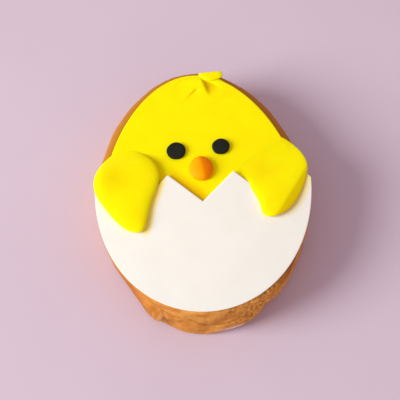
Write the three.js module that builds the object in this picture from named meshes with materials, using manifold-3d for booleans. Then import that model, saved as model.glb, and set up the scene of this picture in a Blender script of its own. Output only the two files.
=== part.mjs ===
// Easter cookie: an egg-shaped gingerbread base that carries a fondant chick hatching from a white shell.
// Millimetres, +Z up. The cookie lies face up on its flat underside, with its pointed end towards +Y.
import * as THREE from "three";
import { mergeVertices } from "three/addons/utils/BufferGeometryUtils.js";
import Module from "manifold-3d";

const wasm = await Module();
wasm.setup();
const { degToRad, lerp, smoothstep } = THREE.MathUtils;

// Driving dimensions: the baked cookie
const COOKIE = { width: 66.2, length: 86.1, taper: 0.1, middle: [0, 0.2], turn: 0, height: 14.7 };
const SHOULDER = { pointedEnd: { height: 3.6, inset: 2.8 }, bluntEnd: { height: 1.4, inset: 1 } };
const FOOT = { height: 1.8, inset: 1 };
const LEAN = { left: 1.7, right: 0.8, front: -1.1, frontAngle: degToRad(272) }; // inset of the lower edge
const UNDERCUT = { angle: degToRad(301), spread: degToRad(19), height: 7, inset: 4.8 };
const CRACK = { height: 9.4, dip: 3.6, angle: degToRad(272), reach: degToRad(34), depth: 0.7, width: 1.6 };
const LEDGE = { angle: degToRad(241), spread: degToRad(9), proud: 1.8 };
const DENTS = [
  { angle: degToRad(220), spread: degToRad(14), depth: 1.2 },
  { angle: degToRad(322), spread: degToRad(12), depth: 0.8 },
];
const WAVES = [
  { size: 0.22, count: 5, phase: 0.6, twist: 0 },
  { size: 0.2, count: 11, phase: 2.4, twist: 0.25 },
  { size: 0.14, count: 23, phase: 0, twist: -0.6 },
];
const BLOB = { angle: degToRad(244.5), height: 7.3, proud: 1.7, radius: 2 };

// Driving dimensions: the rolled sheets, with their thickness at x = y = 0
// The thickness grows by the rise towards +Y, and the dome takes some of it off towards both sides.
const YELLOW = {
  width: 59.8,
  length: 76.2,
  taper: 0.17,
  middle: [0, 2.2],
  turn: 0,
  thickness: 1.4,
  rise: 0,
  dome: 0.0004,
  soft: 0.3,
};
const WHITE = {
  width: 67,
  length: 89,
  taper: 0.06,
  middle: [0.7, 1.9],
  turn: degToRad(-5),
  thickness: 2.43,
  rise: 0.046,
  dome: 0.0007,
  soft: 0.1,
};
const TEETH = { pitch: 20.5, depth: 9.8, valleyY: -6.1, count: 4 };

// Driving dimensions: the modelled lumps
const WING = { rootTop: -0.45, rootFoot: -1.2, foot: 0.25, waist: 0.3 }; // levels from the sheet's top
const WINGS = {
  wing_left: {
    centre: [-23.2, -0.5],
    level: 2.5,
    tilt: [0, 0.02],
    outline: [
      [-12.9, 4.2],
      [-16.2, 10.8],
      [-23, 14.5],
      [-30, 10],
      [-33.4, 0.8],
      [-29.4, -8.2],
      [-23.4, -14.9],
      [-19.4, -15.3],
      [-16.3, -6.6],
    ],
    root: [[-33, 13], [-20, 16]],
    rootRun: 9,
    swell: { at: [-33, 3.2], radius: 5.5, height: 0.9 },
    roundness: 3.2,
  },
  wing_right: {
    centre: [23.4, 0.6],
    level: 1.4,
    tilt: [-0.01, -0.09],
    outline: [
      [33.4, 3.4],
      [32, 9.4],
      [27, 15],
      [18, 17.6],
      [10.5, 9],
      [12.8, 2.4],
      [15.6, -3.8],
      [17.3, -8.2],
      [18.2, -12.2],
      [20.8, -13.2],
      [25.4, -11.4],
      [29.3, -7],
    ],
    root: [[7, 7], [27, 17]],
    rootRun: 16,
    swell: { at: [14.6, -1], radius: 4, height: 0.3 },
    bevel: { crease: [[23.4, -10.8], [32, 2.1]], slope: 0.26 },
    roundness: 3.2,
  },
};
const EYES = {
  eye_left: { at: [-7.1, 12.3], width: 6.1, length: 5.9 },
  eye_right: { at: [7, 12.9], width: 5.5, length: 5.6 },
};
const EYE = { height: 1.1, waist: 0.4, roundness: 4 };
const BEAK = { at: [0.3, 5.4], width: 7.6, length: 8.4, height: 2.6, waist: 0.2, roundness: 2.6 };
const RIDGE = { slope: 0.22, softness: 0.15, drift: 0.2 }; // shares of the beak's half width
const TUFT = { root: [1.6, 39.4], sunk: 0.4, waist: 0.3 };
const STRAND = { width: 3.8, narrowing: 0.45, roundness: 2 };
const STRANDS = [
  { heading: degToRad(237), length: 10.4, height: 0.45 },
  { heading: degToRad(289), length: 8.2, height: 0.6 },
];
const TONGUE = {
  centre: [5.4, 39.5],
  outline: [
    [9.7, 40.1],
    [9.3, 41],
    [6.4, 41.1],
    [3.6, 41],
    [2, 40.6],
    [3.2, 38.6],
    [5.4, 37.6],
    [9.4, 39],
  ],
  height: 0.5,
  roundness: 3,
};

// Fineness of the faceted surfaces
const SECTORS = { cookie: 132, blob: 18, sheet: 84, wing: 44, eye: 30, beak: 36, strand: 24 };
const SLICES = { blob: 12, sheet: 4, wing: 8, eye: 5, beak: 8, strand: 5 };
const INNER_SHARES = [0.6, 0.25]; // rings that fill a face, as shares of its size

// Fits, and the levels of the faces that carry the next layer
const SEAT = 0.05; // a piece stands this far off the face that carries it
const GAP = 0.3; // clearance beside a piece that another is trimmed around
const LIP = 0.3; // height of a sheet's upright edge below its rounding
const SHEET_BOTTOM = COOKIE.height + SEAT;
const YELLOW_TOP = SHEET_BOTTOM + YELLOW.thickness;
const FACE = YELLOW_TOP + SEAT; // foot of what lies on the yellow sheet
const sheetTop = (egg, p) => SHEET_BOTTOM + egg.thickness + egg.rise * p.y - egg.dome * p.x ** 2;

// Joining and cutting

function solidOf(geometry) {
  const bare = new THREE.BufferGeometry().setAttribute("position", geometry.getAttribute("position"));
  if (geometry.index) bare.setIndex(geometry.index);
  const merged = mergeVertices(bare, 1e-4);
  const vertProperties = new Float32Array(merged.getAttribute("position").array);
  const triVerts = new Uint32Array(merged.index.array);
  return new wasm.Manifold(new wasm.Mesh({ numProp: 3, vertProperties, triVerts }));
}

function geometryOf(solid) {
  const { vertProperties, triVerts } = solid.getMesh();
  return new THREE.BufferGeometry()
    .setAttribute("position", new THREE.BufferAttribute(vertProperties, 3))
    .setIndex(new THREE.BufferAttribute(triVerts, 1));
}

function cut(body, tools) {
  return geometryOf(tools.reduce((solid, tool) => solid.subtract(solidOf(tool)), solidOf(body)));
}

function join(bodies) {
  return geometryOf(bodies.map(solidOf).reduce((solid, other) => solid.add(other)));
}

function common(one, other) {
  return geometryOf(solidOf(one).intersect(solidOf(other)));
}

// Curves

function total(values) {
  return values.reduce((sum, value) => sum + value, 0);
}

function bell(value, middle, spread) {
  return Math.exp(-(((value - middle) / spread) ** 2));
}

// How far a point lies to the right of a line, seen along the line.
function beyond([[fromX, fromY], [toX, toY]], x, y) {
  const across = new THREE.Vector2(toY - fromY, fromX - toX).normalize();
  return across.x * (x - fromX) + across.y * (y - fromY);
}

// Outlines

// A point of an egg outline, an ellipse that narrows towards its top, moved inwards by an inset.
function eggPoint(egg, angle, inset = 0) {
  const [cos, sin] = [Math.cos(angle), Math.sin(angle)];
  const x = (egg.width / 2) * cos * (1 - egg.taper * sin);
  const y = (egg.length / 2) * sin;
  const alongX = (egg.width / 2) * (-sin - egg.taper * (cos * cos - sin * sin));
  const alongY = (egg.length / 2) * cos;
  const outward = new THREE.Vector2(alongY, -alongX).normalize();
  const p = new THREE.Vector2(x, y).addScaledVector(outward, -inset);
  return p.rotateAround(new THREE.Vector2(), egg.turn).add(new THREE.Vector2(...egg.middle));
}

function turns(count) {
  return Array.from({ length: count }, (_, i) => (i / count) * 2 * Math.PI);
}

// The area below the shell's torn edge, which is a triangle wave with a valley in the middle.
function belowTeethShape(raise) {
  const step = TEETH.pitch / 2;
  const reach = TEETH.count * step;
  const corners = [new THREE.Vector2(-reach, -COOKIE.length), new THREE.Vector2(reach, -COOKIE.length)];
  for (let i = TEETH.count; i >= -TEETH.count; i--) {
    const peak = i % 2 === 0 ? 0 : TEETH.depth;
    corners.push(new THREE.Vector2(i * step, TEETH.valleyY + peak + raise));
  }
  return new THREE.Shape(corners);
}

function ovalOutline([x, y], width, length) {
  return (turn) => {
    const angle = turn * 2 * Math.PI;
    return new THREE.Vector2(x + (width / 2) * Math.cos(angle), y + (length / 2) * Math.sin(angle));
  };
}

function smoothOutline(points) {
  const corners = points.map(([x, y]) => new THREE.Vector3(x, y, 0));
  const curve = new THREE.CatmullRomCurve3(corners, true, "centripetal");
  return (turn) => {
    const p = curve.getPointAt(turn);
    return new THREE.Vector2(p.x, p.y);
  };
}

// Solids

function prism(shape, bottom, top) {
  const solid = new THREE.ExtrudeGeometry(shape, { depth: top - bottom, bevelEnabled: false });
  return solid.translate(0, 0, bottom);
}

// A closed surface over rings of equal length, lowest first, each anticlockwise when seen from above.
function ringSolid(rings, lowest, highest) {
  const sectors = rings[0].length;
  const positions = [...rings.flat(), lowest, highest].flatMap((p) => p.toArray());
  const under = rings.length * sectors;
  const over = under + 1;
  const last = under - sectors;
  const triangles = [];
  for (let j = 0; j < sectors; j++) {
    const k = (j + 1) % sectors;
    triangles.push(under, k, j);
    triangles.push(over, last + j, last + k);
    for (let low = 0; low < last; low += sectors) {
      const high = low + sectors;
      triangles.push(low + j, low + k, high + k);
      triangles.push(low + j, high + k, high + j);
    }
  }
  return new THREE.BufferGeometry()
    .setAttribute("position", new THREE.Float32BufferAttribute(positions, 3))
    .setIndex(triangles);
}

// A ring of an egg outline at a share of its size, with its height given by level(p).
function eggRing(egg, inset, level, share = 1) {
  const middle = new THREE.Vector2(...egg.middle);
  return turns(SECTORS.sheet).map((angle) => {
    const p = middle.clone().lerp(eggPoint(egg, angle, inset), share);
    return new THREE.Vector3(p.x, p.y, level(p));
  });
}

// A solid over the rings of an egg outline's edge, closed by a flat underside and by a domed top at top(p).
function overEgg(egg, rings, bottom, top) {
  const inner = INNER_SHARES.map((share) => eggRing(egg, egg.soft, top, share));
  const lowest = new THREE.Vector3(...egg.middle, bottom);
  return ringSolid([...rings, ...inner], lowest, lowest.clone().setZ(top(lowest)));
}

// A rolled sheet of fondant with an egg outline: a low upright edge that rounds over to the top.
function eggSheet(egg) {
  const top = (p) => sheetTop(egg, p);
  const lip = SHEET_BOTTOM + LIP;
  const rings = [eggRing(egg, 0, () => SHEET_BOTTOM), eggRing(egg, 0, () => lip)];
  for (let i = 0; i <= SLICES.sheet; i++) {
    const tilt = (i / SLICES.sheet) * (Math.PI / 2);
    const inset = egg.soft * (1 - Math.cos(tilt));
    rings.push(eggRing(egg, inset, (p) => top(p) - egg.soft * (1 - Math.sin(tilt))));
  }
  return overEgg(egg, rings, SHEET_BOTTOM, top);
}

// The space under a sheet's top, with clearance round it.
function eggSpace(egg) {
  const top = (p) => sheetTop(egg, p) + SEAT;
  return overEgg(egg, [eggRing(egg, -GAP, () => 0), eggRing(egg, -GAP, top)], 0, top);
}

// A soft lump of fondant: an underside, a rounded edge that is widest at the waist, and a domed top.
// outline(turn) is its plan for turn 0 to 1. foot(x, y) is the level of its underside, and crown(x, y) that
// of its top before the edge rounds off.
function lump({ outline, centre, foot, crown, waist, roundness, sectors, slices }) {
  const power = 2 / roundness;
  const underTilt = degToRad(70);
  const middle = new THREE.Vector2(...centre);
  const rim = Array.from({ length: sectors }, (_, j) => outline(j / sectors));
  const ring = (tilt) =>
    rim.map((edge) => {
      const p = middle.clone().lerp(edge, Math.cos(tilt) ** power);
      const [bottom, top] = [foot(p.x, p.y), crown(p.x, p.y)];
      const widest = lerp(bottom, top, waist);
      const dropped = lerp(widest, bottom, Math.sin(-tilt) / Math.sin(underTilt));
      const raised = lerp(widest, top, Math.abs(Math.sin(tilt)) ** power);
      return new THREE.Vector3(p.x, p.y, tilt < 0 ? dropped : raised);
    });
  const rings = [ring(-underTilt), ring(-underTilt / 2)];
  for (let i = 0; i < slices; i++) rings.push(ring((i / slices) * (Math.PI / 2)));
  const lowest = new THREE.Vector3(middle.x, middle.y, foot(middle.x, middle.y));
  return ringSolid(rings, lowest, lowest.clone().setZ(crown(middle.x, middle.y)));
}

// Sub-parts

// How far the cookie's side stands inside its egg outline at one height.
function sideInset(angle, z) {
  const quarter = (share) => 1 - Math.sqrt(1 - Math.min(Math.max(share, 0), 1) ** 2);
  const { pointedEnd, bluntEnd } = SHOULDER;
  const pointed = smoothstep(Math.sin(angle), -0.3, 0.2);
  const shoulderHeight = lerp(bluntEnd.height, pointedEnd.height, pointed);
  const shoulderInset = lerp(bluntEnd.inset, pointedEnd.inset, pointed);
  const shoulder = shoulderInset * quarter(1 - (COOKIE.height - z) / shoulderHeight);
  const under = bell(angle, UNDERCUT.angle, UNDERCUT.spread);
  const footHeight = lerp(FOOT.height, UNDERCUT.height, under);
  const foot = lerp(FOOT.inset, UNDERCUT.inset, under) * quarter((footHeight - z) / footHeight);
  const flank = lerp(LEAN.left, LEAN.right, smoothstep(Math.cos(angle), -0.3, 0.3));
  const front = smoothstep(Math.cos(angle - LEAN.frontAngle), 0.88, 0.985);
  return shoulder + foot + lerp(flank, LEAN.front, front) * (1 - z / COOKIE.height);
}

// Baked unevenness of the side: waves, dents, a crack round the blunt end and a ledge below it.
function sideRelief(angle, z) {
  const waves = WAVES.map((wave) => wave.size * Math.sin(wave.count * angle + wave.phase + wave.twist * z));
  const swell = Math.sin((Math.PI * z) / COOKIE.height) * total(waves);
  const dents = DENTS.map((dent) => dent.depth * bell(angle, dent.angle, dent.spread));
  const crackZ = CRACK.height - CRACK.dip * bell(angle, CRACK.angle, CRACK.reach / 3);
  const open = 1 - smoothstep(Math.abs(angle - CRACK.angle) / CRACK.reach, 0.6, 1);
  const crack = CRACK.depth * open * bell(z, crackZ, CRACK.width / 2);
  const nearLedge = bell(angle, LEDGE.angle, LEDGE.spread);
  const ledge = LEDGE.proud * nearLedge * smoothstep(crackZ - z, 0, 1) * smoothstep(z, 0, 1);
  return swell - total(dents) - crack + ledge;
}

function sidePoint(angle, z, depth = 0) {
  const p = eggPoint(COOKIE, angle, sideInset(angle, z) - sideRelief(angle, z) + depth);
  return new THREE.Vector3(p.x, p.y, z);
}

// A blob of dough that sticks out of the cookie's side.
function blobGeometry() {
  const middle = sidePoint(BLOB.angle, BLOB.height, BLOB.radius - BLOB.proud);
  return new THREE.SphereGeometry(BLOB.radius, SECTORS.blob, SLICES.blob).translate(...middle);
}

function cookieGeometry() {
  const sideLevels = [0, 0.5, 1.4, 2.6, 3.8, 5, 6, 7, 8.4, 9.8, 11.2, 12.4, 13.4, 14.1, COOKIE.height];
  const ring = (z, share = 1) =>
    turns(SECTORS.cookie).map((angle) => {
      const p = sidePoint(angle, z);
      return new THREE.Vector3(p.x * share, p.y * share, z);
    });
  const underside = INNER_SHARES.map((share) => ring(0, share)).reverse();
  const side = sideLevels.map((z) => ring(z));
  const top = INNER_SHARES.map((share) => ring(COOKIE.height, share));
  const highest = new THREE.Vector3(0, 0, COOKIE.height);
  return join([ringSolid([...underside, ...side, ...top], new THREE.Vector3(), highest), blobGeometry()]);
}

function belowTeeth(raise) {
  return prism(belowTeethShape(raise), 0, 2 * COOKIE.height);
}

// The spaces that the sheets take up, for trimming their neighbours.
const besideTeeth = belowTeeth(GAP * Math.SQRT2);
const yellowSpace = eggSpace(YELLOW);
const whiteSpace = common(eggSpace(WHITE), besideTeeth);

// A slab that grows out of the sheet along its root and lies on the shell beyond.
// Its top there is a tilted plane with one swelling, which can fall away beyond a crease.
function wingGeometry({ centre, level, tilt, outline, root, rootRun, swell, bevel, roundness }) {
  const grown = (x, y) => smoothstep(beyond(root, x, y), 0, rootRun);
  const foot = (x, y) => YELLOW_TOP + lerp(WING.rootFoot, WING.foot, grown(x, y));
  const crown = (x, y) => {
    const swollen = swell.height * bell(Math.hypot(x - swell.at[0], y - swell.at[1]), 0, swell.radius);
    const fallen = bevel ? bevel.slope * Math.max(beyond(bevel.crease, x, y), 0) : 0;
    const high = level + tilt[0] * (x - centre[0]) + tilt[1] * (y - centre[1]) + swollen - fallen;
    return YELLOW_TOP + lerp(WING.rootTop, high, grown(x, y));
  };
  const { waist } = WING;
  const [sectors, slices] = [SECTORS.wing, SLICES.wing];
  const plan = smoothOutline(outline);
  const whole = lump({ outline: plan, centre, foot, crown, waist, roundness, sectors, slices });
  return cut(whole, [whiteSpace, yellowSpace]);
}

function eyeGeometry({ at, width, length }) {
  const outline = ovalOutline(at, width, length);
  const { height, waist, roundness } = EYE;
  const [foot, crown] = [() => FACE, () => FACE + height];
  const [sectors, slices] = [SECTORS.eye, SLICES.eye];
  return lump({ outline, centre: at, foot, crown, waist, roundness, sectors, slices });
}

// A lump pinched into a gable, with a ridge that drifts to the right on its way down.
function beakGeometry() {
  const { at, width, length, height, waist, roundness } = BEAK;
  const foot = () => FACE;
  const crown = (x, y) => {
    const down = (at[1] - y) / (length / 2);
    const aside = (x - at[0]) / (width / 2) - RIDGE.drift * down;
    return FACE + height * (1 - RIDGE.slope * Math.hypot(aside, RIDGE.softness));
  };
  const outline = ovalOutline(at, width, length);
  const [sectors, slices] = [SECTORS.beak, SLICES.beak];
  return lump({ outline, centre: at, foot, crown, waist, roundness, sectors, slices });
}

// One strand of the tuft, drawn out along its heading to a narrow tip.
function strandGeometry({ heading, length, height }) {
  const { width, narrowing, roundness } = STRAND;
  const outline = (turn) => {
    const angle = turn * 2 * Math.PI;
    const along = (1 + Math.sign(Math.cos(angle)) * Math.sqrt(Math.abs(Math.cos(angle)))) / 2;
    return new THREE.Vector2(along * length, (width / 2) * Math.sin(angle) * (1 - narrowing * along));
  };
  const centre = [length / 2, 0];
  const [foot, crown] = [() => -TUFT.sunk, () => height];
  const [sectors, slices] = [SECTORS.strand, SLICES.strand];
  const strand = lump({ outline, centre, foot, crown, waist: TUFT.waist, roundness, sectors, slices });
  return strand.rotateZ(heading).translate(...TUFT.root, YELLOW_TOP);
}

// The strand that lies across the top: a flat tongue with a blunt end.
function tongueGeometry() {
  const { centre, height, roundness } = TONGUE;
  const outline = smoothOutline(TONGUE.outline);
  const [foot, crown] = [() => -TUFT.sunk, () => height];
  const [sectors, slices] = [SECTORS.strand, SLICES.strand];
  const tongue = lump({ outline, centre, foot, crown, waist: TUFT.waist, roundness, sectors, slices });
  return tongue.translate(0, 0, YELLOW_TOP);
}

// The strands run together at their root, and all of them are trimmed to the sheet below.
function tuftGeometry() {
  return cut(join([...STRANDS.map(strandGeometry), tongueGeometry()]), [yellowSpace]);
}

// Materials

function matte(color, roughness) {
  return new THREE.MeshStandardMaterial({ color, roughness, metalness: 0 });
}

const gingerbread = matte(0xc5853f, 0.85);
const yellowFondant = matte(0xfcee02, 0.6);
const whiteFondant = matte(0xf6f1e8, 0.6);
const blackFondant = matte(0x2a2a26, 0.55);
const orangeFondant = matte(0xfba009, 0.55);

// Assembly

const easterCookie = new THREE.Group();

function addPiece(name, geometry, material) {
  const mesh = new THREE.Mesh(geometry, material);
  mesh.name = name;
  easterCookie.add(mesh);
}

addPiece("cookie", cookieGeometry(), gingerbread);
addPiece("chick_body", cut(eggSheet(YELLOW), [besideTeeth]), yellowFondant);
addPiece("egg_shell", common(eggSheet(WHITE), belowTeeth(0)), whiteFondant);
for (const [name, wing] of Object.entries(WINGS)) addPiece(name, wingGeometry(wing), yellowFondant);
for (const [name, eye] of Object.entries(EYES)) addPiece(name, eyeGeometry(eye), blackFondant);
addPiece("beak", beakGeometry(), orangeFondant);
addPiece("tuft", tuftGeometry(), yellowFondant);

export default easterCookie;
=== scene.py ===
"""Easter cookie: a fondant chick in a broken white shell, on an egg-shaped piece of gingerbread.

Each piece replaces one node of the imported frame. Sizes are millimetres, the cookie lies on z = 0, and the
chick's head is towards +Y. A fade is the pair of values between which something sets in or dies away, and a
fineness is how many features a noise has in a millimetre.
"""
import math
from types import SimpleNamespace as Sizes

import bmesh
import bpy
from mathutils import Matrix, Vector, kdtree, noise


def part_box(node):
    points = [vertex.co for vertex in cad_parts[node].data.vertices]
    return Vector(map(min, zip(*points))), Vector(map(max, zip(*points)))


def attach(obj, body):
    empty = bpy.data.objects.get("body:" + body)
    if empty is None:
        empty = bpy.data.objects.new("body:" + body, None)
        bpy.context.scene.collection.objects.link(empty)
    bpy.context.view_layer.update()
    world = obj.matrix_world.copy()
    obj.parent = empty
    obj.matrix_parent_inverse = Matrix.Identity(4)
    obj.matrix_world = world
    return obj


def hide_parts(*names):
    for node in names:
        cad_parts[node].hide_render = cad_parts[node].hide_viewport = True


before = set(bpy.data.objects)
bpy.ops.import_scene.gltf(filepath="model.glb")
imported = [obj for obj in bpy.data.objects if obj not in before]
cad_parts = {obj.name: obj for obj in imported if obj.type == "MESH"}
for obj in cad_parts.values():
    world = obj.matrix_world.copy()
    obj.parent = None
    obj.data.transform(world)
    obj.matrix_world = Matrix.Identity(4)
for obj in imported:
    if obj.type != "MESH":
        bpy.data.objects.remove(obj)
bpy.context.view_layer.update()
MM = 0.001  # one millimetre in scene units

# Levels, from the frame
COOKIE_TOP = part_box("cookie")[1].z / MM
SHEET_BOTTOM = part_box("chick_body")[0].z / MM
YELLOW_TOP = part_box("chick_body")[1].z / MM
WHITE_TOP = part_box("egg_shell")[1].z / MM

# The baked cookie
COOKIE = Sizes(width=66.2, length=86.1, taper=0.1, middle=(0.0, 0.2), turn=0.0)
SHOULDER = Sizes(
    pointed_height=3.6, pointed_inset=2.8, blunt_height=1.4, blunt_inset=1.0, sine_fade=(-0.3, 0.2)
)
FOOT = Sizes(height=1.8, inset=1.0)
LEAN = Sizes(
    left=1.7,
    right=0.8,
    front=-1.1,
    front_angle=math.radians(272),
    side_cosine_fade=(-0.3, 0.3),
    front_cosine_fade=(0.88, 0.985),
)
UNDERCUT = Sizes(angle=math.radians(301), spread=math.radians(19), height=7.0, inset=4.8)
CRACK = Sizes(
    height=9.4,
    dip=3.6,
    dip_spread=math.radians(34) / 3,
    angle=math.radians(272),
    reach=math.radians(34),
    depth=0.5,
    half_width=0.3,
)
CRACK_WAVES = [
    Sizes(size=0.35, count=17),
    Sizes(size=0.15, count=41),
]
CRACK_END_FADE = (0.6, 1.0)  # in shares of the crack's reach
LEDGE = Sizes(angle=math.radians(241), spread=math.radians(9), proud=1.8, fade=(0.0, 1.0))
DENTS = [
    Sizes(angle=math.radians(220), spread=math.radians(14), depth=1.2),
    Sizes(angle=math.radians(322), spread=math.radians(12), depth=0.8),
]
WAVES = [
    Sizes(size=0.22, count=5, phase=0.6, twist=0.0),
    Sizes(size=0.2, count=11, phase=2.4, twist=0.25),
    Sizes(size=0.14, count=23, phase=0.0, twist=-0.6),
]
# pale: share of the pale colour on the blob, a painted highlight
BLOB = Sizes(angle=math.radians(244.5), height=7.3, proud=1.7, radius=2.0, pale=0.1)

# The fine relief of the dough
GRAIN = Sizes(height=0.07, fineness=0.9, falloff=0.9, gap=2.2, octaves=4)
PITS = Sizes(depth=0.6, fineness=0.42, radius=0.32, patch_fineness=0.17, patch_fade=(-0.05, 0.45))
CRUMBS = Sizes(height=0.5, fineness=0.8, radius=0.45, twist=0.8, twist_fineness=0.5, seed=7)
RELIEF = Sizes(foot_fade=(0.0, 0.4), face_fade=(3.0, 5.0), sinking_level=COOKIE_TOP - 0.05)

# Where the dough is torn, crusty or pale, where shade is painted on its side, and how dark its hollows are
# painted
TORN = Sizes(angle=math.radians(300), spread=math.radians(19))
# painted shade on the side: low on the left-front side, and in a band under the shell's overhang on the right
PAINTED_SIDE_SHADE = [
    Sizes(angle=math.radians(225), spread=math.radians(32), fade=(11.0, 8.0), least=0.5),
    Sizes(angle=math.radians(320), spread=math.radians(14), fade=(8.5, 12.0), least=0.0),
]
# a pale line along the foot at the front
PALE = Sizes(angle=math.radians(282.5), spread=math.radians(6.5), fade=(3.9, 3.4))
CRUST = Sizes(fade=(8.0, COOKIE_TOP - 1.0), sine_fade=(-0.5, 0.1))
# painted shade in pits and along the crack: its gain on the depth of the fine relief, and its strength in the
# crack
HOLLOW = Sizes(relief=2.5, crack=0.4)

# The rolled sheets
YELLOW = Sizes(
    width=59.8, length=76.2, taper=0.17, middle=(0.0, 2.2), turn=0.0, soft=0.3, dome=0.0004, seed=3
)
WHITE = Sizes(
    width=67.0,
    length=89.0,
    taper=0.06,
    middle=(0.7, 1.9),
    turn=math.radians(-5),
    soft=0.1,
    dome=0.0007,
    seed=8,
)
WHITE_SLOPE = 0.046  # how much the shell thickens for each millimetre towards +Y
UNDERCUT_SHARE = 0.03  # how much smaller a sheet is at its underside
ROLLED = [
    Sizes(height=0.05, fineness=0.09),
    Sizes(height=0.015, fineness=0.25),
]
ROLLED_EDGE = 6.0  # how far inside its edge a sheet reaches its full unevenness
TEETH = Sizes(pitch=20.5, depth=9.8, valley_y=-6.1, soft=0.4)
TOOTH_TIP = Sizes(x=TEETH.pitch / 2, y=TEETH.valley_y + TEETH.depth)
# painted shadow of the shell's torn edge on the yellow sheet: its strength at the tip and in the valley, and
# its fades
SHELL_SHADE = Sizes(tip=0.55, valley=0.95, end_fade=(0.9, 1.2), fade=(0.6, 4.9))

# The modelled lumps
WING = Sizes(
    root_top=-0.45,
    root_foot=-1.2,
    foot=0.25,
    waist=0.3,
    roundness=3.2,
    fillet=0.5,
    fillet_sunk=0.03,
    fillet_fall=0.15,
    uneven=0.05,
    fineness=0.2,
    seed=5,
    crease_fade=(-0.2, 0.8),
    away_fade=(0.1, 0.8),
    # how far from a wing's edge its painted glow on the white dies away
    tinge_fade=(0.6, 2.8),
)
WINGS = {
    "wing_left": Sizes(
        centre=(-23.2, -0.5),
        level=2.5,
        tilt=(0.0, 0.02),
        outline=[
            (-12.9, 4.2),
            (-16.2, 10.8),
            (-23.0, 14.5),
            (-30.0, 10.0),
            (-33.4, 0.8),
            (-29.4, -8.2),
            (-23.4, -14.9),
            (-19.4, -15.3),
            (-16.3, -6.6),
        ],
        root=((-33.0, 13.0), (-20.0, 16.0)),
        root_run=9.0,
        swell=Sizes(at=(-33.0, 3.2), radius=5.5, height=0.9),
        bevel=None,
        # painted shade standing in for a dimple's shade: its place, size and strength
        press=Sizes(at=(-27.0, 2.5), radius=5.5, shade=0.14),
        # strength of the painted yellow glow in this wing's shadow on the white
        tinge=0.9,
    ),
    "wing_right": Sizes(
        centre=(23.4, 0.6),
        level=1.4,
        tilt=(-0.01, -0.09),
        outline=[
            (33.4, 3.4),
            (32.0, 9.4),
            (27.0, 15.0),
            (18.0, 17.6),
            (10.5, 9.0),
            (12.8, 2.4),
            (15.6, -3.8),
            (17.3, -8.2),
            (18.2, -12.2),
            (20.8, -13.2),
            (25.4, -11.4),
            (29.3, -7.0),
        ],
        root=((7.0, 7.0), (27.0, 17.0)),
        root_run=16.0,
        swell=Sizes(at=(14.6, -1.0), radius=4.0, height=0.3),
        # the bevel's shade paints an amber band along the bevel, which is turned from the light
        bevel=Sizes(crease=((23.4, -10.8), (32.0, 2.1)), slope=0.26, shade=0.36),
        # painted shade standing in for a dimple's shade: its place, size and strength
        press=Sizes(at=(18.6, 4.2), radius=5.0, shade=0.28),
        # strength of the painted yellow glow in this wing's shadow on the white
        tinge=0.65,
    ),
}
LUMP_SUNK = 0.1  # how deep the eyes and the beak sit in the yellow sheet
EYES = {
    "eye_left": Sizes(at=(-7.1, 12.3), width=6.1, length=5.9),
    "eye_right": Sizes(at=(7.0, 12.9), width=5.5, length=5.6),
}
EYE = Sizes(height=1.2, waist=0.4, roundness=4.0, uneven=0.02)
OVAL_WAVES = [
    Sizes(size=1.0, count=2),
    Sizes(size=0.6, count=5),
]
BEAK = Sizes(at=(0.3, 5.4), width=7.6, length=8.4, height=2.7, waist=0.2, roundness=2.6)
# the last pair is where painted shade, a deeper orange, sets in across the ridge on the flank turned from the
# light
RIDGE = Sizes(slope=0.22, softness=0.15, drift=0.2, tint_fade=(-0.1, 0.3))
# shade and reach of each groove, with the shade values here: how strong, how wide and where painted shade
# lies beside it
GROOVE = Sizes(start_fade=(-0.1, 0.15), shade_start=-0.2, shade_peak=0.25)
GROOVES = [
    Sizes(
        start=(0.8, 35.4),
        end=(-4.1, 30.7),
        fade=(0.1, 1.0),
        depth=0.25,
        steep=0.5,
        gentle=2.2,
        shade=0.4,
        reach=1.2,
    ),
    Sizes(
        start=(1.9, 40.1),
        end=(4.4, 31.6),
        fade=(0.5, 1.05),
        depth=0.4,
        steep=1.5,
        gentle=7.0,
        shade=0.9,
        reach=5.8,
    ),
]
CREST = Sizes(height=0.4, steep=0.9, gentle=5.0)
PATCH = Sizes(
    centre=(1.5, 34.0),
    width=20.0,
    length=12.6,
    lift=0.1,
    bed=1.3,
    bed_fade=(0.45, 0.86),
    pinch_fade=(0.6, 0.9),
    sunk=0.012,
    sunk_fade=(0.85, 1.0),
)
TONGUE = Sizes(
    centre=(5.4, 39.5),
    outline=[
        (9.7, 40.1),
        (9.3, 41.0),
        (6.4, 41.1),
        (3.6, 41.0),
        (2.0, 40.6),
        (3.2, 38.6),
        (5.4, 37.6),
        (9.4, 39.0),
    ],
    top=0.5,
    thickness=0.9,
    waist=0.3,
    roundness=3.0,
)

# Fineness of the surfaces
COOKIE_SECTORS = 800
SIDE_STEP = 0.22
COOKIE_RINGS = Sizes(under_shares=(0.3, 0.6, 0.85), rim_step=0.4, rim_count=15, face_shares=(0.6, 0.3))
SHEET_COLUMNS = 360
SHEET_ROWS = 60
YELLOW_STEPS = Sizes(torn=[0, 0.4, 0.8, 1.3, 1.9, 2.6, 3.4, 4.4], edge=[0, 0.02, 0.08, 0.16, 0.3, 0.6, 1])
WHITE_STEPS = Sizes(torn=[0, 0.03, 0.12, 0.25, 0.4, 0.55, 0.8], edge=[0, 0.01, 0.04, 0.1, 0.2, 0.8])
CORNERS = range(-2, 3)  # corners of the torn edge that get a column of their own, counted from its middle
RIGHT_ARC = (math.radians(-40), math.radians(40))  # where an egg outline crosses the torn edge on its right
LEFT_ARC = (math.radians(220), math.radians(140))  # and on its left
CROSSING_STEPS = 40
SHORTEST_COLUMN = 1e-6
WELD = 1e-4  # points of a sheet that lie nearer than this are one
SHARP_EDGE = math.radians(55)
LUMP_SECTORS = 200
LUMP_SLICES = 48
LUMP_CROWDING = 1.6  # how strongly the slices of a lump crowd towards its edge
UNDER_TILTS = [math.radians(tilt) for tilt in (70, 50, 30, 12)]
PATCH_RINGS = 60

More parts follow.
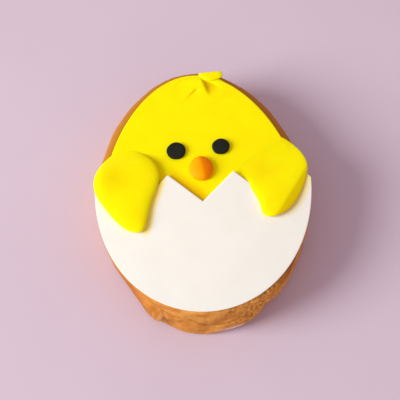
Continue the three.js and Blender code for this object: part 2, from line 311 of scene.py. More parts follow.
# Materials, with colours as screen values from 0 to 255 and ramps of two noise levels with their colours
DOUGH = Sizes(
    roughness=0.8,
    gloss=0.2,
    mottling=Sizes(size=4.0, detail=6.0, ramp=[(0.32, (199, 125, 49)), (0.64, (238, 167, 79))]),
    # the torn dough's own specks, partly painted light: lighter than the mottling to make up for the shade
    # that side lies in
    specks=Sizes(size=1.2, detail=4.0, ramp=[(0.34, (205, 123, 41)), (0.64, (255, 188, 86))]),
    # colour of the painted shade on the side
    browned=(174, 101, 37),
    crust=(185, 119, 39),
    # colour of the painted shade in pits and cracks
    hollow=(92, 48, 18),
    pale=(240, 208, 196),
    grain=Sizes(size=0.5, detail=5.0, depth=0.12),
)
PASTE = Sizes(gloss=0.05, clouds=Sizes(size=9.0, detail=3.0), powder=Sizes(size=0.35, detail=3.0, depth=0.02))
PASTES = {
    "yellow_fondant": Sizes(
        ramp=[(0.35, (254, 231, 1)), (0.62, (255, 235, 1))],
        # painted shade: the deeper yellow of shadows, grooves, dimples and a wing's bevel
        tint=(232, 178, 0),
        roughness=0.55,
        glow=0.3,
        reach=(1.5, 0.7, 0.1),
    ),
    "white_fondant": Sizes(
        ramp=[(0.35, (240, 234, 224)), (0.62, (242, 236, 227))],
        # painted glow: the yellow of light thrown by the wings into their shadows on the white
        tint=(255, 228, 90),
        roughness=0.6,
        glow=0.2,
        reach=(1.2, 0.9, 0.7),
    ),
    "black_fondant": Sizes(
        ramp=[(0.35, (31, 31, 26)), (0.62, (37, 37, 31))],
        tint=None,
        roughness=0.5,
        glow=0.0,
        reach=(1.0, 1.0, 1.0),
    ),
    "orange_fondant": Sizes(
        ramp=[(0.35, (253, 159, 2)), (0.62, (255, 167, 3))],
        # painted shade: the deeper orange of the beak's flank that is turned from the light
        tint=(255, 136, 0),
        roughness=0.5,
        glow=0.4,
        reach=(2.0, 0.6, 0.1),
    ),
}
BUMP_STRENGTH = 0.6

# Floor, camera and light
FLOOR = Sizes(
    size=2000.0,
    roughness=0.9,
    mottling=Sizes(size=60.0, detail=3.0, ramp=[(0.3, (205, 183, 198)), (0.7, (209, 187, 202))]),
)
CAMERA = Sizes(azimuth=-4.2, elevation=62.0, distance=461.4, lens=134.55, sensor=36.0, target=(-0.89, -5.39))
KEY = Sizes(
    azimuth=-80.0, elevation=28.0, distance=1500.0, size=900.0, power=28.3, colour=(0.95, 1.05, 1.0)
)
ROOM = Sizes(colour=(1.0, 0.86, 0.92, 1.0), strength=0.56)


def lerp(low, high, share):
    return low + (high - low) * share


def smoothstep(value, low, high):
    share = min(max((value - low) / (high - low), 0.0), 1.0)
    return share * share * (3 - 2 * share)


def bell(value, middle, spread):
    return math.exp(-(((value - middle) / spread) ** 2))


def quarter(share):
    """Sag of a quarter circle: 0 at share 0, 1 at share 1."""
    return 1 - math.sqrt(1 - min(max(share, 0.0), 1.0) ** 2)


def smooth_max(one, other, softness):
    near = max(softness - abs(one - other), 0.0) / softness
    return max(one, other) + near * near * softness / 4


def beyond(line, p):
    """How far a point lies to the right of a line, seen along the line."""
    start, end = Vector(line[0]), Vector(line[1])
    across = Vector((end.y - start.y, start.x - end.x)).normalized()
    return across.dot(p - start)


def turns(count):
    return [2 * math.pi * i / count for i in range(count)]


# Outlines


def turned(x, y, turn):
    return Vector((x * math.cos(turn) - y * math.sin(turn), x * math.sin(turn) + y * math.cos(turn)))


def egg_normal(egg, angle):
    cos, sin = math.cos(angle), math.sin(angle)
    along_x = egg.width / 2 * (-sin - egg.taper * (cos * cos - sin * sin))
    along_y = egg.length / 2 * cos
    return turned(along_y, -along_x, egg.turn).normalized()


def egg_point(egg, angle, inset=0.0):
    """A point of an egg outline, an ellipse that narrows towards its top, moved inwards by an inset."""
    cos, sin = math.cos(angle), math.sin(angle)
    p = turned(egg.width / 2 * cos * (1 - egg.taper * sin), egg.length / 2 * sin, egg.turn)
    return Vector(egg.middle) + p - egg_normal(egg, angle) * inset


def egg_depth(egg, x, y):
    """How far a point lies inside an egg outline, near enough to its edge."""
    across, along = turned(x - egg.middle[0], y - egg.middle[1], -egg.turn)
    sin = min(max(along / (egg.length / 2), -1.0), 1.0)
    angle = math.atan2(sin, across / (egg.width / 2) / (1 - egg.taper * sin))
    return (egg_point(egg, angle) - Vector((x, y))).dot(egg_normal(egg, angle))


def teeth_level(x):
    """Height on the plan of the shell's torn edge, a triangle wave with a valley in the middle."""
    step = TEETH.pitch / 2
    share = abs(x) / step % 2
    return TEETH.valley_y + TEETH.depth * (share if share < 1 else 2 - share)


def teeth_depth(x, y):
    """How far a point lies below the torn edge, measured square to it."""
    return (teeth_level(x) - y) / math.hypot(1, TEETH.depth / (TEETH.pitch / 2))


def curve_point(p0, p1, p2, p3, share):
    """A point between p1 and p2 on a centripetal curve through four points."""
    t1 = math.sqrt((p1 - p0).length)
    t2 = t1 + math.sqrt((p2 - p1).length)
    t3 = t2 + math.sqrt((p3 - p2).length)
    t = lerp(t1, t2, share)
    a1 = p0.lerp(p1, t / t1)
    a2 = p1.lerp(p2, (t - t1) / (t2 - t1))
    a3 = p2.lerp(p3, (t - t2) / (t3 - t2))
    b1 = a1.lerp(a2, t / t2)
    b2 = a2.lerp(a3, (t - t1) / (t3 - t1))
    return b1.lerp(b2, (t - t1) / (t2 - t1))


def smooth_outline(points):
    """A closed curve through the given points."""
    corners = [Vector(point) for point in points]
    count = len(corners)
    per_side = LUMP_SECTORS // count
    outline = []
    for i in range(count):
        around = [corners[(i + k) % count] for k in (-1, 0, 1, 2)]
        outline += [curve_point(*around, step / per_side) for step in range(per_side)]
    return outline


def oval_outline(at, width, length, uneven=0.0):
    """An oval, by the given share uneven in a way that its place decides."""
    outline = []
    for angle in turns(LUMP_SECTORS):
        waves = [wave.size * math.sin(wave.count * angle + phase) for wave, phase in zip(OVAL_WAVES, at)]
        reach = 1 + uneven * sum(waves)
        across, along = width / 2 * reach * math.cos(angle), length / 2 * reach * math.sin(angle)
        outline.append(Vector((at[0] + across, at[1] + along)))
    return outline


# Meshes


def ring_mesh(rings, lowest, highest):
    """A closed surface over rings of equal length, lowest first, each anticlockwise when seen from above."""
    sectors = len(rings[0])
    points = [point for ring in rings for point in ring] + [lowest, highest]
    under = len(rings) * sectors
    last = under - sectors
    faces = []
    for j in range(sectors):
        k = (j + 1) % sectors
        faces.append((under, k, j))
        faces.append((under + 1, last + j, last + k))
        for low in range(0, last, sectors):
            faces.append((low + j, low + k, low + sectors + k, low + sectors + j))
    return points, faces


def new_mesh(name, points, faces):
    mesh = bpy.data.meshes.new(name)
    mesh.from_pydata([Vector(point) * MM for point in points], [], faces)
    mesh.shade_smooth()
    return mesh


def set_attribute(mesh, name, values):
    mesh.attributes.new(name, "FLOAT", "POINT").data.foreach_set("value", values)


def add_piece(node, mesh, material):
    piece = bpy.data.objects.new(mesh.name, mesh)
    bpy.context.collection.objects.link(piece)
    mesh.materials.append(material)
    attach(piece, "root")
    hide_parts(node)


def flat(level):
    return lambda x, y: level


def lump(outline, centre, foot, crown, waist, roundness, skin=None):
    """A soft lump of fondant: an underside, an edge that is widest at the waist, and a domed top.

    foot(x, y) is the level of its underside, crown(x, y) that of its top before the edge rounds off, and
    skin(x, y, z) moves the finished top.
    """
    middle = Vector(centre)
    rings = []
    for tilt in UNDER_TILTS:
        ring = []
        for edge in outline:
            p = middle.lerp(edge, math.cos(tilt) ** (2 / roundness))
            bottom = foot(p.x, p.y)
            widest = lerp(bottom, crown(p.x, p.y), waist)
            ring.append((p.x, p.y, lerp(widest, bottom, math.sin(tilt) / math.sin(UNDER_TILTS[0]))))
        rings.append(ring)
    for i in range(LUMP_SLICES):
        share = 1 - (i / LUMP_SLICES) ** LUMP_CROWDING
        rise = (1 - share**roundness) ** (1 / roundness)
        ring = []
        for edge in outline:
            p = middle.lerp(edge, share)
            top = crown(p.x, p.y)
            z = lerp(lerp(foot(p.x, p.y), top, waist), top, rise)
            ring.append((p.x, p.y, skin(p.x, p.y, z) if skin else z))
        rings.append(ring)
    top = crown(*centre)
    return ring_mesh(rings, (*centre, foot(*centre)), (*centre, skin(*centre, top) if skin else top))


# The cookie


def crack_level(angle):
    """Height of the crack round the blunt end, which dips in the middle and wanders a little."""
    level = CRACK.height - CRACK.dip * bell(angle, CRACK.angle, CRACK.dip_spread)
    for wave in CRACK_WAVES:
        level += wave.size * math.sin(wave.count * angle)
    return level


def crack_open(angle):
    """1 along the crack, fading to 0 at its ends."""
    return 1 - smoothstep(abs(angle - CRACK.angle) / CRACK.reach, *CRACK_END_FADE)


def side_inset(angle, z):
    """How far the cookie's side stands inside its egg outline at one height."""
    pointed = smoothstep(math.sin(angle), *SHOULDER.sine_fade)
    shoulder_height = lerp(SHOULDER.blunt_height, SHOULDER.pointed_height, pointed)
    shoulder_inset = lerp(SHOULDER.blunt_inset, SHOULDER.pointed_inset, pointed)
    shoulder = shoulder_inset * quarter(1 - (COOKIE_TOP - z) / shoulder_height)
    under = bell(angle, UNDERCUT.angle, UNDERCUT.spread)
    foot_height = lerp(FOOT.height, UNDERCUT.height, under)
    foot = lerp(FOOT.inset, UNDERCUT.inset, under) * quarter((foot_height - z) / foot_height)
    flank = lerp(LEAN.left, LEAN.right, smoothstep(math.cos(angle), *LEAN.side_cosine_fade))
    front = smoothstep(math.cos(angle - LEAN.front_angle), *LEAN.front_cosine_fade)
    return shoulder + foot + lerp(flank, LEAN.front, front) * (1 - z / COOKIE_TOP)


def knob_share(angle, z):
    """1 at the middle of the blob of dough on the side, falling to 0 at its edge."""
    aside = (egg_point(COOKIE, BLOB.angle) - egg_point(COOKIE, angle)).length
    return 1 - quarter(math.hypot(aside, z - BLOB.height) / BLOB.radius)


def side_relief(angle, z):
    """Baked unevenness of the side: waves, a crack with a ledge below it, a blob of dough, and dents."""
    swell = sum(wave.size * math.sin(wave.count * angle + wave.phase + wave.twist * z) for wave in WAVES)
    swell *= math.sin(math.pi * z / COOKIE_TOP)
    below = crack_level(angle) - z
    crack = CRACK.depth * crack_open(angle) * bell(below, 0, CRACK.half_width)
    ledge = LEDGE.proud * bell(angle, LEDGE.angle, LEDGE.spread)
    ledge *= smoothstep(below, *LEDGE.fade) * smoothstep(z, *LEDGE.fade)
    blob = BLOB.proud * knob_share(angle, z)
    dents = sum(dent.depth * bell(angle, dent.angle, dent.spread) for dent in DENTS)
    return swell - crack + ledge + blob - dents


def cookie_rings():
    """Rings of the cookie's surface, from the middle of its underside to the middle of its face."""

    def ring(z, inset=0.0, share=1.0):
        points = []
        for angle in turns(COOKIE_SECTORS):
            x, y = egg_point(COOKIE, angle, side_inset(angle, z) - side_relief(angle, z) + inset) * share
            points.append((x, y, z))
        return points

    levels = round(COOKIE_TOP / SIDE_STEP)
    underside = [ring(0, share=share) for share in COOKIE_RINGS.under_shares]
    side = [ring(COOKIE_TOP * i / levels) for i in range(levels + 1)]
    rim = [ring(COOKIE_TOP, inset=COOKIE_RINGS.rim_step * (i + 1)) for i in range(COOKIE_RINGS.rim_count)]
    face = [ring(COOKIE_TOP, share=share) for share in COOKIE_RINGS.face_shares]
    return [*underside, *side, *rim, *face]


def plan_angle(p):
    """The angle of the cookie's outline beside a point, near enough."""
    return math.atan2(p.y / COOKIE.length, p.x / COOKIE.width) % (2 * math.pi)


def torn_share(angle):
    return bell(angle, TORN.angle, TORN.spread)


def side_shade_share(angle, z):
    """How strongly shade is painted on the side at one place: low on the left-front, and under the shell's
    overhang on the right.
    """
    bands = []
    for band in PAINTED_SIDE_SHADE:
        along = bell(angle, band.angle, band.spread)
        bands.append(along * lerp(band.least, 1, smoothstep(z, *band.fade)))
    return max(bands)


def crumb(p, torn):
    """Fine relief of the dough at a point: an even grain, small pits, and loose crumbs where it is torn."""
    grain = noise.fractal(p * GRAIN.fineness, GRAIN.falloff, GRAIN.gap, GRAIN.octaves)
    patches = smoothstep(noise.noise(p * PITS.patch_fineness), *PITS.patch_fade)
    pit = max(0.0, PITS.radius - noise.voronoi(p * PITS.fineness)[0][0]) * patches
    twist = noise.noise_vector(p * CRUMBS.twist_fineness) * CRUMBS.twist
    crumbs = CRUMBS.radius - noise.voronoi(p * CRUMBS.fineness + twist)[0][0]
    return GRAIN.height * grain - PITS.depth * pit + torn * CRUMBS.height * crumbs


def cookie_relief(p):
    """Fine relief of the cookie: none at its foot or under the fondant, and only hollows on its face."""
    covered = smoothstep(egg_depth(COOKIE, p.x, p.y), *RELIEF.face_fade)
    bare = smoothstep(p.z, *RELIEF.foot_fade) * (1 - covered)
    height = crumb(p, torn_share(plan_angle(p))) * bare
    return min(height, 0.0) if p.z > RELIEF.sinking_level else height


def cookie_shades(p, height):
    """How strongly each other colour of the dough shows at a point, given its fine relief. The hollow and
    side colours are painted shade, and the pale one also paints a highlight on the blob.
    """
    angle = plan_angle(p)
    knob = knob_share(angle, p.z)
    crack = bell(crack_level(angle), p.z, CRACK.half_width) * crack_open(angle)
    paled = bell(angle, PALE.angle, PALE.spread) * smoothstep(p.z, *PALE.fade)
    return {
        # painted shade in the pits and the crack
        "hollow": min(max(-HOLLOW.relief * height, 0.0) + HOLLOW.crack * crack, 1.0),
        "torn": torn_share(angle),
        # a pale line along the foot, and a painted highlight on the blob
        "pale": max(paled, BLOB.pale * knob),
        "crust": smoothstep(p.z, *CRUST.fade) * smoothstep(math.sin(angle), *CRUST.sine_fade),
        # painted shade on the side, kept off the blob
        "browned": side_shade_share(angle, p.z) * (1 - knob),
    }


def make_cookie(material):
    points, faces = ring_mesh(cookie_rings(), (0, 0, 0), (0, 0, COOKIE_TOP))
    mesh = new_mesh("cookie_crumb", points, faces)
    normals = [vertex.normal.copy() for vertex in mesh.vertices]
    noise.seed_set(CRUMBS.seed)  # noise_vector takes its seed from the clock otherwise
    shades = []
    for vertex, normal in zip(mesh.vertices, normals):
        p = vertex.co / MM
        height = cookie_relief(p)
        vertex.co += normal * (height * MM)
        shades.append(cookie_shades(p, height))
    for name in shades[0]:
        set_attribute(mesh, name, [shade[name] for shade in shades])
    add_piece("cookie", mesh, material)


# The rolled sheets


def crossing(egg, below, above):
    """The angle between two others at which an egg outline crosses the torn edge."""
    for _ in range(CROSSING_STEPS):
        middle = (below + above) / 2
        x, y = egg_point(egg, middle)
        if y < teeth_level(x):
            below = middle
        else:
            above = middle
    return below


def sheet_columns(egg, upper):
    """Pairs of points on the torn edge and on the egg outline, from the sheet's right to its left."""
    right = crossing(egg, *RIGHT_ARC)
    left = crossing(egg, *LEFT_ARC) - (0 if upper else 2 * math.pi)
    shares = [i / SHEET_COLUMNS for i in range(SHEET_COLUMNS + 1)]
    outer = [egg_point(egg, lerp(right, left, share)) for share in shares]
    across = [lerp(outer[0].x, outer[-1].x, (1 - math.cos(math.pi * share)) / 2) for share in shares]
    for count in CORNERS:
        corner = count * TEETH.pitch / 2
        nearest = min(range(len(across)), key=lambda i: abs(across[i] - corner))
        across[nearest] = corner
    torn = [Vector((x, teeth_level(x))) for x in across]
    return list(zip(torn, outer))


def spread(length, steps):
    """Distances along a column, fine at both ends and even between, squeezed where the column is short."""
    squeeze = min(1.0, length / (2 * (steps.torn[-1] + steps.edge[-1])))
    near = [step * squeeze for step in steps.torn]
    far = [length - step * squeeze for step in reversed(steps.edge)]
    between = [lerp(near[-1], far[0], i / SHEET_ROWS) for i in range(1, SHEET_ROWS)]
    return near + between + far


def sheet_mesh(name, egg, upper, steps, level):
    """A sheet between the torn edge and an egg outline, with its top at level(x, y)."""
    points = []
    for torn_point, outer_point in sheet_columns(egg, upper):
        length = (outer_point - torn_point).length
        for distance in spread(length, steps):
            x, y = torn_point.lerp(outer_point, distance / max(length, SHORTEST_COLUMN))
            points.append((x, y, level(x, y)))
    mesh = new_mesh(name, points, grid_faces(len(points), len(points) // (SHEET_COLUMNS + 1)))
    close_below(mesh, SHEET_BOTTOM)
    mesh.set_sharp_from_angle(angle=SHARP_EDGE)
    return mesh


def grid_faces(count, rows):
    """Faces over points that are listed column by column."""
    faces = []
    for low in range(0, count - rows, rows):
        faces += [(low + i, low + i + 1, low + rows + i + 1, low + rows + i) for i in range(rows - 1)]
    return faces


def close_below(mesh, level):
    """Turns an open sheet into a solid with a flat underside that is a little smaller than the top."""
    work = bmesh.new()
    work.from_mesh(mesh)
    bmesh.ops.remove_doubles(work, verts=work.verts, dist=WELD * MM)
    rim = [edge for edge in work.edges if edge.is_boundary]
    for part in bmesh.ops.extrude_edge_only(work, edges=rim)["geom"]:
        if isinstance(part, bmesh.types.BMVert):
            part.co = Vector((*(part.co.xy * (1 - UNDERCUT_SHARE)), level * MM))
    bmesh.ops.holes_fill(work, edges=[edge for edge in work.edges if edge.is_boundary])
    bmesh.ops.recalc_face_normals(work, faces=work.faces)
    work.to_mesh(mesh)
    work.free()


def rounded(depth, soft):
    """Rise of a rounded edge: 0 at the edge, 1 from the soft depth inwards."""
    return math.sqrt(1 - max(1 - depth / soft, 0.0) ** 2)


def edge_drop(depth, soft):
    """How far a sheet's top falls at its rounded edge."""
    return soft * (1 - rounded(depth, soft))


def hand_rolled(x, y, seed):
    """Slight unevenness of a sheet."""
    p = Vector((x, y, seed))
    return sum(wave.height * noise.noise(p * wave.fineness) for wave in ROLLED)


def yellow_level(x, y):
    edge = max(egg_depth(YELLOW, x, y), 0.0)
    level = YELLOW_TOP - YELLOW.dome * x * x - edge_drop(edge, YELLOW.soft)
    return level + hand_rolled(x, y, YELLOW.seed) * rounded(edge, ROLLED_EDGE)


def patch_share(x, y):
    """How far a point lies from the middle of the tuft's patch, as a share of the way to its border."""
    across, along = x - PATCH.centre[0], y - PATCH.centre[1]
    return math.hypot(across / (PATCH.width / 2), along / (PATCH.length / 2))


def yellow_bed(x, y):
    """The sheet's top, sunk where the tuft's patch lies in it."""
    return yellow_level(x, y) - PATCH.bed * (1 - smoothstep(patch_share(x, y), *PATCH.bed_fade)) ** 2


def shell_shade(p):
    """How strongly shadow is painted into the sheet beside the shell's flank that keeps the light off it."""
    valley, tip = Vector((0, TEETH.valley_y)), Vector((-TOOTH_TIP.x, TOOTH_TIP.y))
    flank = tip - valley
    along = max(flank.dot(p - valley) / flank.length_squared, 0.0)
    peak = lerp(SHELL_SHADE.valley, SHELL_SHADE.tip, along) * (1 - smoothstep(along, *SHELL_SHADE.end_fade))
    return peak * (1 - smoothstep(beyond((valley, tip), p), *SHELL_SHADE.fade))


def make_yellow_sheet(material):
    mesh = sheet_mesh("chick_sheet", YELLOW, True, YELLOW_STEPS, yellow_bed)
    # painted shadow along the shell's edge
    set_attribute(mesh, "tint", [shell_shade(vertex.co.xy / MM) for vertex in mesh.vertices])
    add_piece("chick_body", mesh, material)


def white_level(x, y):
    edge = max(egg_depth(WHITE, x, y), 0.0)
    torn = max(teeth_depth(x, y), 0.0)
    drop = max(edge_drop(edge, WHITE.soft), edge_drop(torn, TEETH.soft))
    level = WHITE_TOP + WHITE_SLOPE * (y - TOOTH_TIP.y) - WHITE.dome * (x * x - TOOTH_TIP.x**2)
    return level - drop + hand_rolled(x, y, WHITE.seed) * rounded(min(edge, torn), ROLLED_EDGE)


def wing_shade(points):
    """How strongly each point gets a painted yellow glow, in the shadow beside a wing's side turned from the
    light.
    """
    away = direction(KEY.azimuth + 180, 0).xy
    edges = []
    painted_glows = []
    for wing in WINGS.values():
        outline = smooth_outline(wing.outline)
        for i, edge in enumerate(outline):
            along = outline[(i + 1) % len(outline)] - outline[i - 1]
            outward = Vector((along.y, -along.x)).normalized()
            edges.append(edge)
            painted_glows.append(wing.tinge * smoothstep(outward.dot(away), *WING.away_fade))
    tree = kdtree.KDTree(len(edges))
    for i, edge in enumerate(edges):
        tree.insert((*edge, 0), i)
    tree.balance()
    shades = []
    for x, y in points:
        _, i, distance = tree.find((x, y, 0))
        shades.append(painted_glows[i] * (1 - smoothstep(distance, *WING.tinge_fade)))
    return shades


def make_white_sheet(material):
    mesh = sheet_mesh("shell_sheet", WHITE, False, WHITE_STEPS, white_level)
    # painted yellow glow in the wings' shadows
    set_attribute(mesh, "tint", wing_shade([vertex.co.xy / MM for vertex in mesh.vertices]))
    add_piece("egg_shell", mesh, material)


# The modelled lumps


def make_wing(node, wing, material):
    tilt = Vector(wing.tilt)
    swell, bevel, press = wing.swell, wing.bevel, wing.press

    def grown(p):
        return smoothstep(beyond(wing.root, p), 0, wing.root_run)

    def crown(x, y):
        p = Vector((x, y))
        swollen = swell.height * bell((p - Vector(swell.at)).length, 0, swell.radius)
        fallen = bevel.slope * smooth_max(beyond(bevel.crease, p), 0.0, WING.fillet) if bevel else 0.0
        high = wing.level + tilt.dot(p - Vector(wing.centre)) + swollen - fallen
        return YELLOW_TOP + lerp(WING.root_top, high, grown(p))

    def foot(x, y):
        return YELLOW_TOP + lerp(WING.root_foot, WING.foot, grown(Vector((x, y))))

    def skin(x, y, z):
        uneven = WING.uneven * noise.noise(Vector((x, y, WING.seed)) * WING.fineness)
        depth = egg_depth(YELLOW, x, y)
        sheet = yellow_level(x, y) + edge_drop(max(depth, 0.0), YELLOW.soft) - WING.fillet_sunk
        return smooth_max(z + uneven, sheet + WING.fillet_fall * min(depth, 0.0), WING.fillet)

    def shade(p):
        # painted shade: a darker patch standing in for the shade of a dimple
        dimple_shaded = press.shade * bell((p - Vector(press.at)).length, 0, press.radius)
        # painted shade: an amber band along the bevel that is turned from the light
        fallen = bevel.shade * smoothstep(beyond(bevel.crease, p), *WING.crease_fade) if bevel else 0.0
        return max(dimple_shaded, fallen)

    outline = smooth_outline(wing.outline)
    points, faces = lump(outline, wing.centre, foot, crown, WING.waist, WING.roundness, skin)
    mesh = new_mesh(node + "_lump", points, faces)
    set_attribute(mesh, "tint", [shade(Vector((x, y))) for x, y, _ in points])
    add_piece(node, mesh, material)


def make_eye(node, eye, material):
    foot = YELLOW_TOP - LUMP_SUNK
    outline = oval_outline(eye.at, eye.width, eye.length, EYE.uneven)
    points, faces = lump(outline, eye.at, flat(foot), flat(foot + EYE.height), EYE.waist, EYE.roundness)
    mesh = new_mesh(node + "_disc", points, faces)
    add_piece(node, mesh, material)


def make_beak(material):
    foot = YELLOW_TOP - LUMP_SUNK

    def aside(x, y):
        down = (BEAK.at[1] - y) / (BEAK.length / 2)
        return (x - BEAK.at[0]) / (BEAK.width / 2) - RIDGE.drift * down

    def crown(x, y):
        return foot + BEAK.height * (1 - RIDGE.slope * math.hypot(aside(x, y), RIDGE.softness))

    outline = oval_outline(BEAK.at, BEAK.width, BEAK.length)
    points, faces = lump(outline, BEAK.at, flat(foot), crown, BEAK.waist, BEAK.roundness)
    mesh = new_mesh("beak_gable", points, faces)
    # painted shade: the flank turned from the light is painted a deeper orange
    set_attribute(mesh, "tint", [smoothstep(aside(x, y), *RIDGE.tint_fade) for x, y, _ in points])
    add_piece("beak", mesh, material)


def beside(groove, x, y):
    """Where a point lies along a groove, as a share of its length, and how far from it towards +X."""
    start, end = Vector(groove.start), Vector(groove.end)
    heading = (end - start).normalized()
    offset = Vector((x, y)) - start
    return offset.dot(heading) / (end - start).length, heading.x * offset.y - heading.y * offset.x


def groove_run(groove, along):
    """1 along a groove, fading to 0 at its ends."""
    return smoothstep(along, *GROOVE.start_fade) * (1 - smoothstep(along, *groove.fade))


def groove_depth(groove, x, y):
    """Depth of a pinched groove: steep on its -X side, and rising gently towards +X."""
    along, aside = beside(groove, x, y)
    across = smoothstep(aside, 0, groove.steep) * bell(aside, 0, groove.gentle)
    return groove.depth * groove_run(groove, along) * across


def crest_height(x, y):
    """Height of the pinched strand that stands along the -X side of the longer groove."""
    along, aside = beside(GROOVES[1], x, y)
    width = CREST.steep if aside > 0 else CREST.gentle
    return CREST.height * groove_run(GROOVES[1], along) * bell(aside, 0, width)


def groove_shade(groove, x, y):
    """How strongly shade is painted beside a groove, where little light falls."""
    along, aside = beside(groove, x, y)
    peak = GROOVE.shade_peak * groove.reach
    across = smoothstep(aside, GROOVE.shade_start, peak) * (1 - smoothstep(aside, peak, groove.reach))
    return groove.shade * groove_run(groove, along) * across


def strands_mesh():
    """The patch of yellow paste at the head's top, pinched into strands."""
    outline = oval_outline(PATCH.centre, PATCH.width, PATCH.length)
    middle = Vector(PATCH.centre)

    def ring(share):
        points = []
        inside = 1 - smoothstep(share, *PATCH.pinch_fade)
        sunk = PATCH.sunk * smoothstep(share, *PATCH.sunk_fade)
        for x, y in [middle.lerp(edge, share) for edge in outline]:
            pinched = crest_height(x, y) - sum(groove_depth(groove, x, y) for groove in GROOVES)
            points.append((x, y, yellow_level(x, y) - sunk + pinched * inside))
        return points

    bottom = SHEET_BOTTOM + PATCH.lift
    rings = [[(*edge, bottom) for edge in outline]]
    rings += [ring(1 - i / PATCH_RINGS) for i in range(PATCH_RINGS)]
    points, faces = ring_mesh(rings, (*middle, bottom), ring(0)[0])
    mesh = new_mesh("tuft_strands", points, faces)
    # painted shade in the grooves
    painted_shades = [max(groove_shade(groove, x, y) for groove in GROOVES) for x, y, _ in points]
    set_attribute(mesh, "tint", painted_shades)
    return mesh


def tongue_mesh():
    """The strand that lies across the top: a flat tongue with a blunt end."""
    top = YELLOW_TOP + TONGUE.top
    foot, crown = flat(top - TONGUE.thickness), flat(top)
    outline = smooth_outline(TONGUE.outline)
    points, faces = lump(outline, TONGUE.centre, foot, crown, TONGUE.waist, TONGUE.roundness)
    return new_mesh("tongue", points, faces)


def make_tuft(material):
    mesh = strands_mesh()
    tongue = tongue_mesh()
    work = bmesh.new()
    work.from_mesh(mesh)
    work.from_mesh(tongue)
    work.to_mesh(mesh)
    work.free()
    bpy.data.meshes.remove(tongue)
    add_piece("tuft", mesh, material)


# Materials


def srgb(red, green, blue):
    """A colour given as screen values from 0 to 255, for a shader."""
    linear = []
    for value in (red, green, blue):
        share = value / 255
        linear.append(share / 12.92 if share <= 0.04045 else ((share + 0.055) / 1.055) ** 2.4)
    return (*linear, 1.0)


def new_material(name, roughness):
    material = bpy.data.materials.new(name)
    material.use_nodes = True
    shader = material.node_tree.nodes["Principled BSDF"]
    shader.inputs["Roughness"].default_value = roughness
    return material, material.node_tree, shader


def attribute_node(tree, name):
    attribute = tree.nodes.new("ShaderNodeAttribute")
    attribute.attribute_name = name
    return attribute.outputs["Fac"]


def noise_node(tree, look):
    """Noise with features of about the look's size in millimetres."""
    place = tree.nodes.new("ShaderNodeTexCoord")
    texture = tree.nodes.new("ShaderNodeTexNoise")
    texture.inputs["Scale"].default_value = 1 / (look.size * MM)
    texture.inputs["Detail"].default_value = look.detail
    tree.links.new(place.outputs["Object"], texture.inputs["Vector"])
    return texture.outputs["Fac"]


def ramp_node(tree, factor, stops):
    ramp = tree.nodes.new("ShaderNodeValToRGB")
    for element, (position, colour) in zip(ramp.color_ramp.elements, stops):
        element.position = position
        element.color = srgb(*colour)
    tree.links.new(factor, ramp.inputs["Fac"])
    return ramp.outputs["Color"]


def mix_node(tree, name, colour):
    """A node that fades from its first colour to its second by a piece's own attribute."""
    mix = tree.nodes.new("ShaderNodeMix")
    mix.data_type = "RGBA"
    tree.links.new(attribute_node(tree, name), mix.inputs["Factor"])
    tree.links.new(colour, mix.inputs["A"])
    return mix


def tinted(tree, name, colour, other):
    """Fades a colour to a fixed one by a piece's own attribute."""
    mix = mix_node(tree, name, colour)
    mix.inputs["B"].default_value = srgb(*other)
    return mix.outputs["Result"]


def bump_node(tree, look, shader):
    bump = tree.nodes.new("ShaderNodeBump")
    bump.inputs["Strength"].default_value = BUMP_STRENGTH
    bump.inputs["Distance"].default_value = look.depth * MM
    tree.links.new(noise_node(tree, look), bump.inputs["Height"])
    tree.links.new(bump.outputs["Normal"], shader.inputs["Normal"])


def fondant(name, paste):
    """Rolled sugar paste: a dull smooth surface with a faint cloudiness and a fine powdery grain.

    Light that enters it spreads by the paste's reach, in millimetres of red, green and blue. The piece's own
    attribute fades it to the paste's second colour, which is painted light: painted shade in the yellow and
    orange, and a painted yellow glow in the wings' shadows on the white.
    """
    material, tree, shader = new_material(name, paste.roughness)
    colour = ramp_node(tree, noise_node(tree, PASTE.clouds), paste.ramp)
    # the second colour is painted light, faded in by the piece's own attribute
    if paste.tint:
        colour = tinted(tree, "tint", colour, paste.tint)
    tree.links.new(colour, shader.inputs["Base Color"])
    shader.inputs["Subsurface Weight"].default_value = paste.glow
    shader.inputs["Subsurface Radius"].default_value = paste.reach
    shader.inputs["Subsurface Scale"].default_value = MM
    shader.inputs["Specular IOR Level"].default_value = PASTE.gloss
    bump_node(tree, PASTE.powder, shader)
    return material


def gingerbread():
    """Baked dough: golden and brown mottling, specks where torn, painted shade in cracks, pits and on its
    side.
    """
    material, tree, shader = new_material("gingerbread", DOUGH.roughness)
    mottled = ramp_node(tree, noise_node(tree, DOUGH.mottling), DOUGH.mottling.ramp)
    torn = mix_node(tree, "torn", mottled)
    specks = ramp_node(tree, noise_node(tree, DOUGH.specks), DOUGH.specks.ramp)
    tree.links.new(specks, torn.inputs["B"])
    # painted shade on the side
    browned = tinted(tree, "browned", torn.outputs["Result"], DOUGH.browned)
    crusty = tinted(tree, "crust", browned, DOUGH.crust)
    # painted shade in cracks and pits
    cracked = tinted(tree, "hollow", crusty, DOUGH.hollow)
    # the pale line along the foot, and the painted highlight on the blob
    paled = tinted(tree, "pale", cracked, DOUGH.pale)
    tree.links.new(paled, shader.inputs["Base Color"])
    shader.inputs["Specular IOR Level"].default_value = DOUGH.gloss
    bump_node(tree, DOUGH.grain, shader)
    return material


# Stage


def lilac_card():
    material, tree, shader = new_material("lilac_card", FLOOR.roughness)
    tone = ramp_node(tree, noise_node(tree, FLOOR.mottling), FLOOR.mottling.ramp)
    tree.links.new(tone, shader.inputs["Base Color"])
    return material


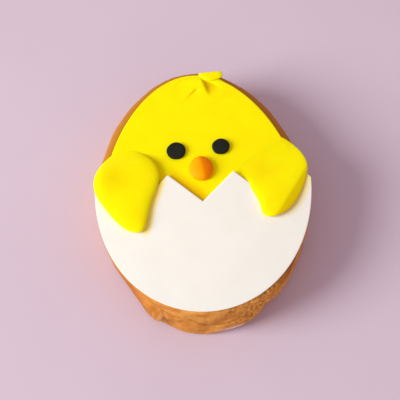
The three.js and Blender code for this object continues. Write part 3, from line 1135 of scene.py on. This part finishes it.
def add_floor():
    work = bmesh.new()
    bmesh.ops.create_grid(work, x_segments=1, y_segments=1, size=FLOOR.size * MM)
    mesh = bpy.data.meshes.new("floor")
    work.to_mesh(mesh)
    work.free()
    floor = bpy.data.objects.new("floor", mesh)
    bpy.context.collection.objects.link(floor)
    mesh.materials.append(lilac_card())


def direction(azimuth, elevation):
    """Unit vector towards a viewpoint: azimuth 0 is towards -Y, and 90 towards +X."""
    a, e = math.radians(azimuth), math.radians(elevation)
    return Vector((math.sin(a) * math.cos(e), -math.cos(a) * math.cos(e), math.sin(e)))


def place(data, back, target, distance):
    """Sets a camera or a lamp at a distance back from its target, turned towards it."""
    holder = bpy.data.objects.new(data.name, data)
    bpy.context.collection.objects.link(holder)
    holder.location = (target + back * distance) * MM
    holder.rotation_euler = back.to_track_quat("Z", "Y").to_euler()
    return holder


def add_camera():
    data = bpy.data.cameras.new("camera")
    data.sensor_width = CAMERA.sensor
    data.lens = CAMERA.lens
    target = Vector((*CAMERA.target, YELLOW_TOP))
    back = direction(CAMERA.azimuth, CAMERA.elevation)
    bpy.context.scene.camera = place(data, back, target, CAMERA.distance)


def add_key_light():
    data = bpy.data.lights.new("key", "AREA")
    data.shape = "DISK"
    data.size = KEY.size * MM
    data.energy = KEY.power
    data.color = KEY.colour
    place(data, direction(KEY.azimuth, KEY.elevation), Vector((0, 0, 0)), KEY.distance)


def add_room_light():
    world = bpy.data.worlds.new("soft_room")
    world.use_nodes = True
    background = world.node_tree.nodes["Background"]
    background.inputs["Color"].default_value = ROOM.colour
    background.inputs["Strength"].default_value = ROOM.strength
    bpy.context.scene.world = world
    bpy.context.scene.view_settings.view_transform = "Standard"


pastes = {name: fondant(name, paste) for name, paste in PASTES.items()}

add_camera()
add_key_light()
add_room_light()
add_floor()
make_cookie(gingerbread())
make_yellow_sheet(pastes["yellow_fondant"])
make_white_sheet(pastes["white_fondant"])
for name, wing in WINGS.items():
    make_wing(name, wing, pastes["yellow_fondant"])
for name, eye in EYES.items():
    make_eye(name, eye, pastes["black_fondant"])
make_beak(pastes["orange_fondant"])
make_tuft(pastes["yellow_fondant"])
